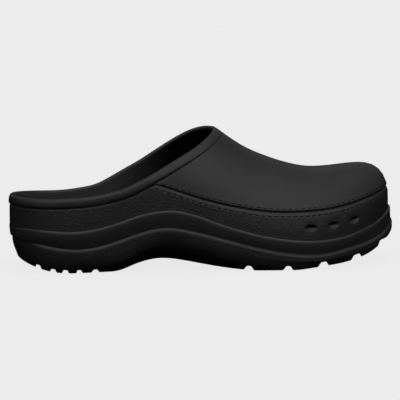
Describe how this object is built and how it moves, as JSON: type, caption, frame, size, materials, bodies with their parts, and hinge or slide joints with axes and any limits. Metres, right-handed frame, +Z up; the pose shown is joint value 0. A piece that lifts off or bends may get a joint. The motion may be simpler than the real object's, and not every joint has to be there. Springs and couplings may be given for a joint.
{
  "type": "open-back moulded clog",
  "caption": "Closed-toe, open-back foam clog for the right foot, with a rolled collar rim, a stitched vamp seam, oval side vents and a ridged sole with lugs.",
  "frame": {"origin": "middle of the shoe's plan, on the plane that its heel and forefoot stand on", "axes": "+X from heel to toe, +Y to the inner side of the right foot, +Z up"},
  "size_m": [0.2847, 0.1022, 0.1006],
  "materials": {
    "upper_foam": "satin, with a fine grain below the seam",
    "midsole_foam": "smooth satin",
    "outsole_rubber": "matt, finely grained",
    "insole_lining": "matt"
  },
  "bodies": {
    "root": {"upper": "upper_foam", "midsole": "midsole_foam", "outsole": "outsole_rubber", "insole": "insole_lining"}
  },
  "joints": []
}
